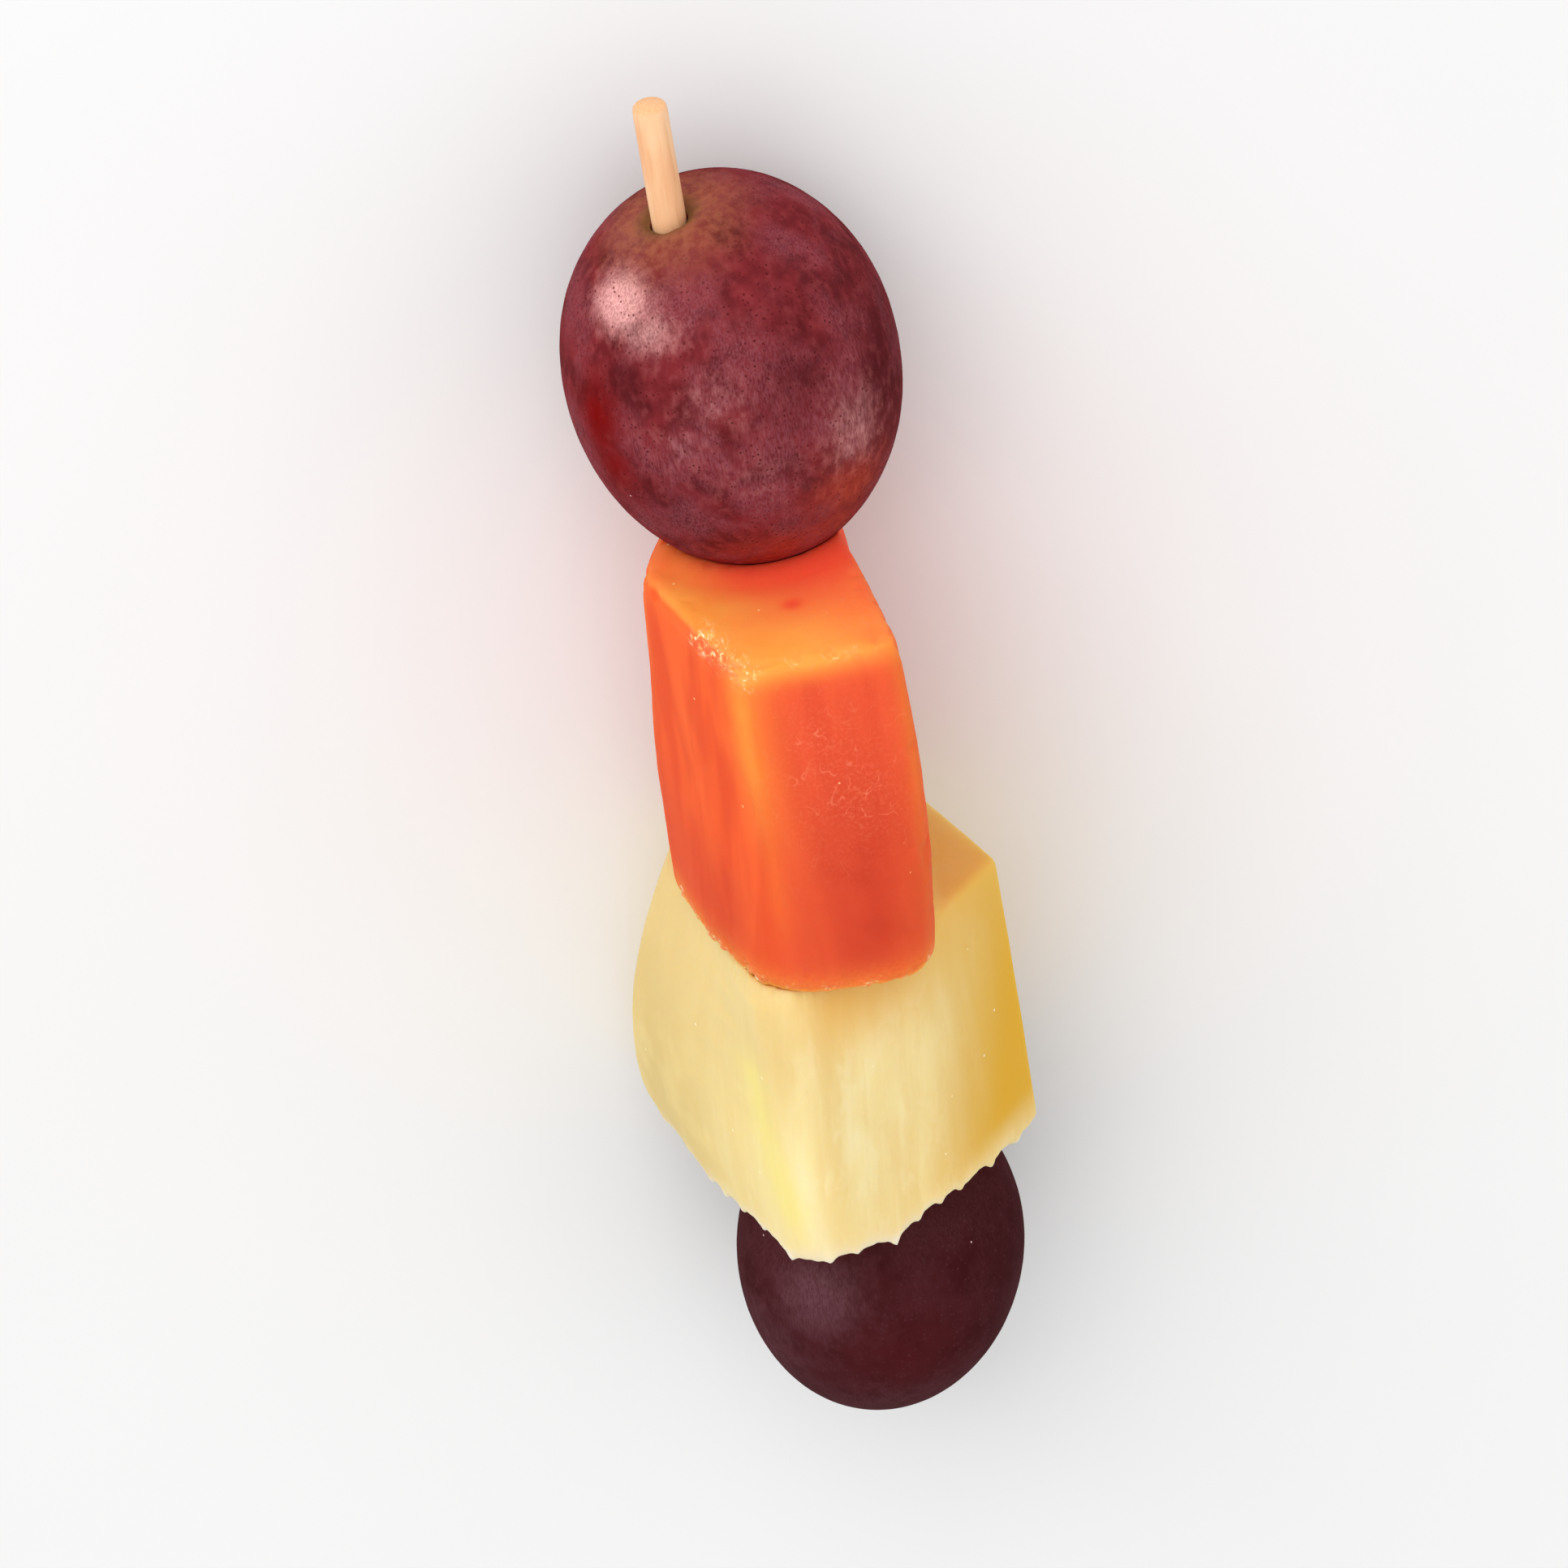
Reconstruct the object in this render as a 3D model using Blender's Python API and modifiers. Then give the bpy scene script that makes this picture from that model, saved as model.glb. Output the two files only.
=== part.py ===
"""A fruit skewer lying on its back, in metres, +Z up.

A bamboo stick runs along +Y through an oval grape, a papaya block, a pineapple wedge and a smaller
grape. The stick stands out of the first grape, and its point ends inside the last one. The skewer
rests on the flat back of the pineapple and on a small flat spot of the first grape. The origin is at
the centre of the resting box, on the floor.
"""

import math

import bmesh
import bpy
from mathutils import Vector

MM = 0.001

# Clearances and resolution
GAP = 0.3 * MM
RING_STEPS = 48
PROFILE_STEPS = 24
CORNER_STEPS = 5
LOFT_STEPS = 9
STICK_SIDES = 20

# Bamboo stick
STICK_RADIUS = 1.5 * MM
STICK_FREE = 9.9 * MM
STICK_POINT = 9.0 * MM
STICK_TIP_RADIUS = 0.35 * MM
STICK_END_BEVEL = 0.25 * MM
TIP_TO_SKIN = 4.0 * MM
ENTRY_DROP = 0.4 * MM  # where the stick leaves the leaning top grape, below the grape's highest end

# The two grapes: half width, half length, how much fatter the stem end is, and the stem dimple
TOP_GRAPE = {"radius": 14.4 * MM, "half_length": 18.1 * MM, "egg": 0.03, "dimple": 0.7 * MM}
LOW_GRAPE = {"radius": 12.7 * MM, "half_length": 15.4 * MM, "egg": 0.04, "dimple": 0.5 * MM}
DIMPLE_RADIUS = 4.0 * MM
# Where each grape's middle lies beside the stick (x, z), and the slope of its axis against the stick
TOP_GRAPE_OFFSET = (3.15 * MM, -2.5 * MM)
TOP_GRAPE_LEAN = (-0.055, 0.09)
LOW_GRAPE_OFFSET = (2.9 * MM, -1.5 * MM)
LOW_GRAPE_LEAN = (0.19, 0.0)

# Lengths along the stick, and how deep each grape is pressed into the cut piece beside it
PAPAYA_LENGTH = 33.9 * MM
PINEAPPLE_LENGTH = 26.9 * MM
TOP_PRESS = 3.1 * MM
LOW_PRESS = 2.3 * MM

# Height of the stick's axis above the floor, and the pineapple's outermost sides (x)
AXIS_HEIGHT = 16.5 * MM
FLOOR_BOX = (100.0 * MM, 200.0 * MM, 20.0 * MM)
PINEAPPLE_LEFT = -15.3 * MM
PINEAPPLE_RIGHT = 18.5 * MM

# Cross-sections of the cut pieces from top to bottom end: corners (x, z, corner radius) in
# millimetres from the stick's axis, anticlockwise as seen from the top end
PAPAYA_SECTIONS = [
    [
        (-0.4, 18.4, 1.6),
        (-4.2, 10.8, 20.0),
        (-7.5, 3.0, 3.0),
        (-3.5, -9.0, 4.0),
        (9.4, -9.5, 4.0),
        (10.1, 2.0, 6.0),
        (13.3, 17.8, 1.6),
    ],
    [
        (-0.1, 20.2, 3.2),
        (-5.0, 10.6, 20.0),
        (-8.9, 0.6, 4.0),
        (-6.5, -10.0, 5.0),
        (10.0, -10.5, 5.0),
        (11.2, 2.0, 6.0),
        (13.4, 19.6, 2.2),
    ],
    [
        (-2.5, 20.6, 9.0),
        (-6.8, 10.1, 14.0),
        (-9.5, -1.0, 5.0),
        (-7.5, -9.0, 5.0),
        (9.6, -9.5, 5.0),
        (11.2, 2.0, 6.0),
        (11.9, 21.2, 4.5),
    ],
]
PAPAYA_TOP_SLOPE = -0.13
BACK = -AXIS_HEIGHT / MM
LEFT, RIGHT = PINEAPPLE_LEFT / MM, PINEAPPLE_RIGHT / MM
PINEAPPLE_SECTIONS = [
    [
        (-3.9, 21.4, 3.5),
        (-7.5, 4.0, 9.0),
        (-9.9, -6.0, 3.0),
        (-7.1, BACK, 3.5),
        (10.4, BACK, 3.5),
        (RIGHT, 2.5, 1.4),
        (9.9, 13.4, 12.0),
    ],
    [
        (-2.9, 21.6, 3.2),
        (-11.9, 3.6, 9.0),
        (-15.0, -7.0, 3.0),
        (-10.1, BACK, 3.5),
        (12.9, BACK, 3.5),
        (RIGHT, 3.0, 1.2),
        (10.5, 13.8, 12.0),
    ],
    [
        (-2.9, 22.2, 4.6),
        (-10.9, 3.4, 9.0),
        (LEFT, -12.0, 3.0),
        (-11.1, BACK, 2.5),
        (13.4, BACK, 2.5),
        (RIGHT, 3.4, 1.4),
        (10.9, 14.2, 12.0),
    ],
]
PAPAYA_EDGE = 1.1 * MM
PINEAPPLE_EDGE = 0.6 * MM
EDGE_SEGMENTS = 3
EDGE_ANGLE = math.radians(50)
CREASE_ANGLE = math.radians(40)

# Places along the stick (y), counted from the low grape's tip, with the overall length centred on 0
LENGTH = (
    2 * LOW_GRAPE["half_length"]
    - LOW_PRESS
    + PINEAPPLE_LENGTH
    + GAP
    + PAPAYA_LENGTH
    - TOP_PRESS
    + 2 * TOP_GRAPE["half_length"]
    - ENTRY_DROP
    + STICK_FREE
)
LOW_GRAPE_Y = -LENGTH / 2 + LOW_GRAPE["half_length"]
PINEAPPLE_Y = LOW_GRAPE_Y + LOW_GRAPE["half_length"] - LOW_PRESS
PAPAYA_Y = PINEAPPLE_Y + PINEAPPLE_LENGTH + GAP
TOP_GRAPE_Y = PAPAYA_Y + PAPAYA_LENGTH - TOP_PRESS + TOP_GRAPE["half_length"]
STICK_TOP_Y = LENGTH / 2
STICK_TIP_Y = -LENGTH / 2 + TIP_TO_SKIN
STICK_X = -(PINEAPPLE_LEFT + PINEAPPLE_RIGHT) / 2


def clear_scene():
    for old in list(bpy.data.objects):
        bpy.data.objects.remove(old, do_unlink=True)


def new_collection(name):
    made = bpy.data.collections.new(name)
    bpy.context.scene.collection.children.link(made)
    return made


def material(name, colour, roughness, subsurface=0.0):
    made = bpy.data.materials.new(name)
    made.use_nodes = True
    shader = made.node_tree.nodes["Principled BSDF"]
    shader.inputs["Base Color"].default_value = (*colour, 1.0)
    shader.inputs["Roughness"].default_value = roughness
    shader.inputs["Metallic"].default_value = 0.0
    shader.inputs["Subsurface Weight"].default_value = subsurface
    shader.inputs["Subsurface Scale"].default_value = 2.0 * MM
    made.diffuse_color = (*colour, 1.0)
    return made


def mesh_object(name, mesh, collection, finish=None):
    made = bpy.data.objects.new(name, mesh)
    collection.objects.link(made)
    if finish is not None:
        mesh.materials.append(finish)
    return made


def shade(obj):
    obj.data.shade_smooth()
    obj.data.set_sharp_from_angle(angle=CREASE_ANGLE)


def hide_helper(obj):
    obj.hide_render = True
    obj.display_type = "WIRE"


def turned(name, profile, steps, collection, finish=None):
    """A profile of (radius, height) points, top to bottom, turned about the object's own Y axis."""
    mesh = bpy.data.meshes.new(name)
    points = [(radius, height, 0.0) for radius, height in profile]
    mesh.from_pydata(points, [(i, i + 1) for i in range(len(points) - 1)], [])
    obj = mesh_object(name, mesh, collection, finish)
    screw = obj.modifiers.new("Turn", "SCREW")
    screw.axis = "Y"
    screw.angle = math.tau
    screw.steps = screw.render_steps = steps
    screw.use_merge_vertices = True
    screw.merge_threshold = 0.00001
    screw.use_normal_calculate = True
    return obj


def grape_profile(radius, half_length, egg, dimple, inflate=0.0):
    """Half outline of a grape, from the stem end at +height to the blossom end."""
    points = []
    for step in range(PROFILE_STEPS + 1):
        angle = math.pi * step / PROFILE_STEPS
        height = math.cos(angle)
        across = (radius + inflate) * math.sin(angle) * (1 + egg * height)
        along = (half_length + inflate) * height
        if height > 0 and across < DIMPLE_RADIUS:
            along -= dimple * (0.5 + 0.5 * math.cos(math.pi * across / DIMPLE_RADIUS))
        points.append((across if 0 < step < PROFILE_STEPS else 0.0, along))
    return points


def place_grape(obj, y, offset, lean):
    obj.location = (STICK_X + offset[0], y, AXIS_HEIGHT + offset[1])
    axis = Vector((lean[0], 1.0, lean[1])).normalized()
    obj.rotation_mode = "QUATERNION"
    obj.rotation_quaternion = Vector((0, 1, 0)).rotation_difference(axis)


def grape(name, form, y, offset, lean, collection, finish=None, inflate=0.0):
    profile = grape_profile(**form, inflate=inflate)
    obj = turned(name, profile, RING_STEPS, collection, finish)
    place_grape(obj, y, offset, lean)
    return obj


def rounded_section(corners):
    """The corners (x, z, radius) of a convex outline as one ring of points, each corner an arc."""
    ring = []
    count = len(corners)
    for i, (x, z, radius) in enumerate(corners):
        corner = Vector((x, z))
        before = (Vector(corners[i - 1][:2]) - corner).normalized()
        after = (Vector(corners[(i + 1) % count][:2]) - corner).normalized()
        half = before.angle(after) / 2
        centre = corner + (before + after).normalized() * radius / math.sin(half)
        start = corner + before * radius / math.tan(half) - centre
        end = corner + after * radius / math.tan(half) - centre
        sweep = start.angle_signed(end)
        first = math.atan2(start.y, start.x)
        for step in range(CORNER_STEPS + 1):
            angle = first - sweep * step / CORNER_STEPS
            ring.append((centre.x + radius * math.cos(angle), centre.y + radius * math.sin(angle)))
    return ring


def section_at(sections, share):
    """The corners at this share of the length, on a parabola through the three named sections."""
    weights = (
        2 * (share - 0.5) * (share - 1),
        4 * share * (1 - share),
        2 * share * (share - 0.5),
    )
    corners = []
    for places in zip(*sections):
        corners.append(tuple(sum(w * p[i] for w, p in zip(weights, places)) for i in range(3)))
    return corners


def cut_block(name, sections, y_low, length, top_slope, edge, collection, finish):
    """A knife-cut piece: a loft from its bottom to its top section, with softened end edges.

    The top end slopes along z by top_slope; the bottom end is square to the stick.
    """
    form = bmesh.new()
    rings = []
    for step in range(LOFT_STEPS + 1):
        share = step / LOFT_STEPS
        y = y_low + length * share
        outline = rounded_section(section_at(sections, 1 - share))
        slope = top_slope * share
        rings.append(
            [
                form.verts.new((STICK_X + x * MM, y + slope * z * MM, AXIS_HEIGHT + z * MM))
                for x, z in outline
            ]
        )
    for low, high in zip(rings, rings[1:]):
        for i in range(len(low)):
            j = (i + 1) % len(low)
            form.faces.new((low[i], low[j], high[j], high[i]))
    form.faces.new(rings[0])
    form.faces.new(rings[-1])
    bmesh.ops.recalc_face_normals(form, faces=form.faces)
    mesh = bpy.data.meshes.new(name)
    form.to_mesh(mesh)
    form.free()
    obj = mesh_object(name, mesh, collection, finish)
    bevel = obj.modifiers.new("Soft edges", "BEVEL")
    bevel.width = edge
    bevel.segments = EDGE_SEGMENTS
    bevel.limit_method = "ANGLE"
    bevel.angle_limit = EDGE_ANGLE
    return obj


def stick_profile(radius, top, tip, bevel, tip_radius):
    """Half outline of the stick from its square-cut top to its point, along its own axis."""
    return [
        (0.0, top),
        (radius - bevel, top),
        (radius, top - bevel),
        (radius, tip + STICK_POINT),
        (tip_radius, tip),
        (0.0, tip),
    ]


def on_axis(obj):
    obj.location = (STICK_X, 0.0, AXIS_HEIGHT)
    return obj


def floor_cutter(collection):
    """The space under the floor, which flattens what would reach through it."""
    bpy.ops.mesh.primitive_cube_add(size=1.0)
    box = bpy.context.object
    box.name = "floor_cutter"
    box.data.transform(box.matrix_world)
    box.scale = FLOOR_BOX
    box.location = (0.0, 0.0, -FLOOR_BOX[2] / 2)
    for other in box.users_collection:
        other.objects.unlink(box)
    collection.objects.link(box)
    return box


def cut(obj, cutter):
    modifier = obj.modifiers.new("Cut by " + cutter.name, "BOOLEAN")
    modifier.operation = "DIFFERENCE"
    modifier.solver = "EXACT"
    modifier.object = cutter


def main():
    clear_scene()
    skewer = new_collection("fruit_skewer")
    cutters = new_collection("cutters")

    bamboo = material("bamboo", (0.76, 0.47, 0.22), 0.6)
    skin = material("grape_skin", (0.16, 0.022, 0.036), 0.38, 0.2)
    papaya_flesh = material("papaya_flesh", (0.86, 0.16, 0.035), 0.35, 0.3)
    pineapple_flesh = material("pineapple_flesh", (0.86, 0.66, 0.25), 0.45, 0.3)

    stick = on_axis(
        turned(
            "stick",
            stick_profile(STICK_RADIUS, STICK_TOP_Y, STICK_TIP_Y, STICK_END_BEVEL, STICK_TIP_RADIUS),
            STICK_SIDES,
            skewer,
            bamboo,
        )
    )
    bore = on_axis(
        turned(
            "bore_cutter",
            stick_profile(
                STICK_RADIUS + GAP, STICK_TOP_Y + GAP, STICK_TIP_Y - GAP, GAP, STICK_TIP_RADIUS + GAP
            ),
            STICK_SIDES,
            cutters,
        )
    )
    floor = floor_cutter(cutters)

    top_place = (TOP_GRAPE_Y, TOP_GRAPE_OFFSET, TOP_GRAPE_LEAN)
    low_place = (LOW_GRAPE_Y, LOW_GRAPE_OFFSET, LOW_GRAPE_LEAN)
    top_grape = grape("grape_top", TOP_GRAPE, *top_place, skewer, skin)
    low_grape = grape("grape_bottom", LOW_GRAPE, *low_place, skewer, skin)
    top_dent = grape("top_dent_cutter", TOP_GRAPE, *top_place, cutters, inflate=GAP)
    low_dent = grape("low_dent_cutter", LOW_GRAPE, *low_place, cutters, inflate=GAP)

    papaya = cut_block(
        "papaya",
        PAPAYA_SECTIONS,
        PAPAYA_Y,
        PAPAYA_LENGTH,
        PAPAYA_TOP_SLOPE,
        PAPAYA_EDGE,
        skewer,
        papaya_flesh,
    )
    pineapple = cut_block(
        "pineapple",
        PINEAPPLE_SECTIONS,
        PINEAPPLE_Y,
        PINEAPPLE_LENGTH,
        0.0,
        PINEAPPLE_EDGE,
        skewer,
        pineapple_flesh,
    )

    cut(papaya, top_dent)
    cut(pineapple, low_dent)
    cut(top_grape, floor)
    for fruit in (top_grape, papaya, pineapple, low_grape):
        cut(fruit, bore)
    for obj in (stick, top_grape, papaya, pineapple, low_grape):
        shade(obj)
    for helper in cutters.objects:
        hide_helper(helper)


main()
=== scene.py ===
"""Looks of the fruit skewer: detailed fruit meshes, their materials, the light and the camera.

Each fruit is an even, dense copy of its CAD node, worked on by small vertex moves: waves left by
the knife, worn and torn edges, crumbs, and flesh that closes on the stick and on its neighbours.
What a mesh knows about itself, such as where it is worn, pale or wet, and where light and shade are
painted into its colour, is kept on it as named masks from 0 to 1. The materials read the masks and
add what is finer than the mesh: fibres, specks, painted glints, grain and gloss.
"""

import math

import bpy
import numpy as np
from mathutils import Matrix, Vector, bvhtree, noise


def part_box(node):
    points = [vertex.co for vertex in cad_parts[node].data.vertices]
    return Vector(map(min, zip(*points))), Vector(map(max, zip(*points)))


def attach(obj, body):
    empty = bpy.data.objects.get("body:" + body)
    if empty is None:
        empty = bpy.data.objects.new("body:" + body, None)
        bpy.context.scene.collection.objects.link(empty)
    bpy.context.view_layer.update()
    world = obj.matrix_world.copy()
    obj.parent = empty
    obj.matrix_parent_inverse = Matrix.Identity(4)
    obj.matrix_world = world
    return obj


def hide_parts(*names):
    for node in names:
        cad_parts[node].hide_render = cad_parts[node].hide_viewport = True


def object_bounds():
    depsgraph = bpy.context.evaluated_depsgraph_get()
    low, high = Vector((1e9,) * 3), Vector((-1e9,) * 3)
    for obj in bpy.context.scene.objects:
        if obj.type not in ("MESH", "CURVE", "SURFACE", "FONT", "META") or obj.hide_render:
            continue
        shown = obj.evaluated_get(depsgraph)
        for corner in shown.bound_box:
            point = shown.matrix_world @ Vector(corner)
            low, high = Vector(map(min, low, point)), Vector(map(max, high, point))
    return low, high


MM = 0.001

# Camera: the view's slope against the stick, its lean, its distance, its lens and its clipping
VIEW_SLOPE = math.radians(31.2)
VIEW_ROLL = math.radians(9.8)
VIEW_DISTANCE = 1.09
VIEW_LENS = 292.0
VIEW_CLIP = (0.05, 20.0)

# Light: brightness of the surroundings, and a softbox above the free end, a little to the left
SURROUNDINGS = 0.86
KEY_DIRECTION = (-0.25, 0.72, 0.65)
KEY_DISTANCE = 1.2
KEY_SIZE = (1.1, 0.9)
KEY_POWER = 6.6
FLOOR_REACH = 3.0

# Meshing of the fruits, and how much an edge stands out where it counts as fully worn
CUT_VOXEL = 0.26 * MM
GRAPE_VOXEL = 0.3 * MM
FACET_SMOOTHING = 14
WEAR_SMOOTHING = 110
WEAR_HEIGHT = 0.28 * MM

# The stick
STICK_SIDES = 40
STICK_RING_STEP = 0.2 * MM
STICK_POINT_LENGTH = 9 * MM
STICK_TIP_SHARE = 0.24
STICK_ROUNDING = ([0, 0.1 * MM, 0.3 * MM, 0.7 * MM], [0.82, 0.9, 0.97, 1.0])
STICK_SLACK = 0.02 * MM
STICK_GRAIN = 0.035 * MM
STICK_GRAIN_LENGTH = 9 * MM
STICK_GRAIN_FINENESS = 4
STICK_CREASE = math.radians(50)

# How the flesh closes on the stick, and on the neighbours across the CAD clearance
STICK_TOUCH = 1.52 * MM
STICK_PULL_FROM = 1.62 * MM
STICK_PULL_REACH = 2.6 * MM
DIMPLE_WIDTH = 1.3 * MM
CUT_DIMPLE = 0.3 * MM
GRAPE_DIMPLE = 0.6 * MM
TOUCH_GAP = 0.03 * MM
CLOSED_GAP = 0.42 * MM

# Papaya: the depth of its relief and how far it swells onto the grape
PAPAYA_WAVE = 0.2 * MM
PAPAYA_RIPPLE = 0.05 * MM
PAPAYA_CHIP = 0.3 * MM
PAPAYA_CRUMB = 0.26 * MM
PAPAYA_NICK = 0.18 * MM
PAPAYA_TOUCH_REACH = 2.4 * MM

# Papaya: its edges as paths in millimetres, and soft patches as (centre, radii, strength)
PAPAYA_RIDGE = [(-2.6, 20.0, 33.6), (-2.5, 12.0, 34.0), (-2.4, 6.5, 34.6), (-2.3, -1.5, 35.8)]
PAPAYA_TOP_LEFT_EDGE = [(-5.1, 21.3, 28.0), (-3.4, 20.9, 31.6), (-2.1, 20.7, 34.3)]
PAPAYA_TOP_FRONT_EDGE = [
    (-2.1, 20.7, 34.3), (2.1, 21.0, 34.3), (7.3, 21.0, 34.1), (11.5, 20.8, 34.0),
]
PAPAYA_RIGHT_EDGE = [(11.7, 20.0, 34.4), (11.7, 12.5, 35.3), (11.3, 5.4, 36.0), (10.5, -8.4, 36.0)]
PAPAYA_LOW_EDGE = [
    (-10.8, -9.0, 18.0), (-9.8, -9.8, 21.0), (-8.0, -10.0, 26.5), (-5.6, -10.0, 32.3),
    (-3.1, -10.0, 35.6), (1.2, -10.1, 37.2), (6.6, -10.1, 37.3), (9.8, -9.6, 35.6),
]
# Painted shade: the top face redder towards its back and right
PAPAYA_TOP_RED = [
    ((5.5, 22.8, 20.5), (6.8, 4.0, 8.0), 1.0),
    ((10.5, 22.5, 24.0), (3.2, 3.0, 5.5), 0.9),
]
# Painted light: the top face lighter at its left and front
PAPAYA_TOP_LIGHT = [
    ((-5.0, 22.3, 26.0), (4.5, 4.0, 7.0), 0.9),
    ((1.0, 21.5, 32.5), (7.0, 3.0, 4.5), 1.0),
]
# Redder inner flesh and painted shade, lower down on the front and on the left
PAPAYA_DEEP = [
    ((6.5, -2.0, 37.0), (7.0, 11.0, 12.0), 1.0),
    ((-8.0, -7.0, 28.0), (6.0, 8.0, 8.0), 0.8),
]
PAPAYA_FROST = [
    ((4.5, 11.0, 36.0), (6.0, 9.0, 5.0), 1.0),
    ((7.5, 21.8, 30.0), (5.0, 3.0, 5.0), 0.7),
]
PAPAYA_RED_DOT = [((3.1, 22.2, 26.7), (0.9, 1.0, 0.75), 1.0)]
PAPAYA_PALE_STREAK = [((-2.2, -0.5, 35.5), (0.9, 4.5, 2.0), 1.0)]

# Pineapple: the depth of its relief, and how far it swells onto the grape and the papaya
PINEAPPLE_WAVE = 0.16 * MM
PINEAPPLE_FURROW = 0.02 * MM
PINEAPPLE_GRAPE_REACH = 1.2 * MM
PINEAPPLE_PAPAYA_REACH = 2.2 * MM
PINEAPPLE_PAPAYA_CLOSED = 0.8 * MM

# Pineapple: its front ridge, the lemon streak beside it and the lean of its fibres
PINEAPPLE_RIDGE = [
    (-6.3, -12.0, 33.7), (-5.5, -17.8, 35.6), (-4.9, -25.0, 36.2), (-4.1, -30.0, 36.6),
    (-3.3, -37.0, 36.7),
]
PINEAPPLE_LEMON = [
    (-7.0, -20.0, 33.0), (-6.7, -25.0, 33.9), (-6.3, -29.0, 34.6), (-5.8, -32.0, 35.3),
]
PINEAPPLE_FIBRE_LEAN = math.radians(-8.4)

# Pineapple's torn rim: teeth as (degrees round the stick, millimetres that it stands out)
PINEAPPLE_RIM_RADIUS = 20 * MM
PINEAPPLE_RIM_HEIGHT = 4.0 * MM
PINEAPPLE_RIM_DEPTH = 0.3 * MM
PINEAPPLE_RIM_BOW = 0.12
PINEAPPLE_RIM_SPREAD = 120
PINEAPPLE_TOOTH = 0.3 * MM
PINEAPPLE_TOOTH_WIDTH = 0.45 * MM
PINEAPPLE_TEETH = [
    (21, -0.2), (36, -0.7), (52, -1.1), (60, -1.0), (68, -0.7), (76.3, 0.7), (87.5, -0.3),
    (94.5, 0.1), (106, 0.8), (119, 0.5), (133, 0.5), (147, 0.5), (160, 0.3), (185, 0.0),
    (206, 0.2), (238, -0.2), (262, 0.1), (289, 0.2), (318, -0.2), (341, 0.1), (357, 0.0),
]

# Grapes: the skin's unevenness, and the corky ring round the stick
GRAPE_WAVE = 0.14 * MM
GRAPE_RING_RADIUS = 2.5 * MM
GRAPE_RING_WIDTH = 0.55 * MM
GRAPE_RING_HEIGHT = 0.18 * MM
GRAPE_RING_ROUGHNESS = 0.1 * MM

# Grapes: patches of bloom with a painted sheen, of red painted where light comes through, of
# painted orange light thrown from the papaya, and of darker skin with painted shade
TOP_GRAPE_BLOOM = [
    ((-6.8, 50.8, 21.4), (3.0, 2.5, 3.0), 1.0),
    ((-4.7, 48.9, 24.0), (2.8, 2.0, 2.9), 0.55),
    ((10.6, 36.9, 24.8), (3.4, 4.6, 4.2), 0.33),
    ((-0.5, 43.0, 28.0), (3.8, 3.2, 4.0), 0.2),
    ((-4.1, 39.5, 27.2), (3.5, 3.0, 4.0), 0.16),
    ((2.0, 35.5, 28.0), (5.5, 3.0, 4.0), 0.14),
]
# Painted light: red where light comes through the skin
TOP_GRAPE_BLUSH = [
    ((-10.2, 40.5, 22.2), (1.9, 4.2, 2.8), 1.0),
    ((-9.4, 36.2, 22.5), (1.8, 3.0, 2.8), 0.8),
]
# Painted orange light thrown up from the papaya onto the grape's low end
TOP_GRAPE_WARM = [
    ((9.5, 30.8, 23.6), (4.0, 3.6, 4.5), 1.0),
    ((5.0, 26.0, 22.8), (7.0, 3.2, 3.5), 1.0),
]
# Darker skin and painted shade, most on the right side
TOP_GRAPE_DARK = [
    ((13.8, 39.0, 19.5), (3.8, 11.0, 7.0), 1.0),
    ((6.5, 44.0, 27.0), (3.4, 4.4, 3.4), 0.9),
    ((-7.4, 44.6, 24.8), (2.0, 2.6, 2.4), 0.9),
    ((-5.5, 31.5, 24.5), (4.5, 4.5, 5.0), 0.3),
]
LOW_GRAPE_BLOOM = [
    ((-5.0, -48.0, 25.6), (4.6, 4.2, 4.0), 0.85),
    ((-1.8, -51.0, 27.0), (4.0, 3.6, 3.5), 0.2),
    ((-9.0, -55.0, 20.0), (4.0, 6.0, 6.0), 0.45),
    ((1.5, -61.0, 24.0), (8.0, 3.5, 5.0), 0.3),
]
LOW_GRAPE_DARK = [((12.0, -48.0, 22.0), (6.0, 9.0, 7.0), 1.0)]
LOW_GRAPE_BLUSH = [((1.5, -54.5, 27.4), (6.0, 6.0, 5.0), 0.8)]


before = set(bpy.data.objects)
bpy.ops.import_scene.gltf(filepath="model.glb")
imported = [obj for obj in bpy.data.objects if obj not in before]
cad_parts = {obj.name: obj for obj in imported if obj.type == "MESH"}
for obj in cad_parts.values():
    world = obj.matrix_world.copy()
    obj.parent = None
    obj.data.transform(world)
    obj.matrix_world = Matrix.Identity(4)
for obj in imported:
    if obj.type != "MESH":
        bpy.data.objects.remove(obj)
cad_low, cad_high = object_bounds()


# ---------------------------------------------------------------- meshes


def get_points(mesh):
    points = np.empty(len(mesh.vertices) * 3)
    mesh.vertices.foreach_get("co", points)
    return points.reshape(-1, 3)


def set_points(mesh, points):
    mesh.vertices.foreach_set("co", points.ravel())
    mesh.update()


def get_normals(mesh):
    normals = np.empty(len(mesh.vertices) * 3)
    mesh.vertex_normals.foreach_get("vector", normals)
    return normals.reshape(-1, 3)


def get_edges(mesh):
    edges = np.empty(len(mesh.edges) * 2, dtype=np.int64)
    mesh.edges.foreach_get("vertices", edges)
    return edges.reshape(-1, 2)


def blurred(values, edges, rounds):
    """The values, one row a vertex, after averaging with the neighbours so many times."""
    count = len(values)
    first, second = edges.T
    degree = np.bincount(first, minlength=count) + np.bincount(second, minlength=count)
    for _ in range(rounds):
        sums = [
            np.bincount(first, column[second], count) + np.bincount(second, column[first], count)
            for column in values.T
        ]
        values = (values + np.column_stack(sums) / degree[:, None]) / 2
    return values


def smooth_step(low, high, values):
    share = np.clip((values - low) / (high - low), 0.0, 1.0)
    return share * share * (3 - 2 * share)


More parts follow.
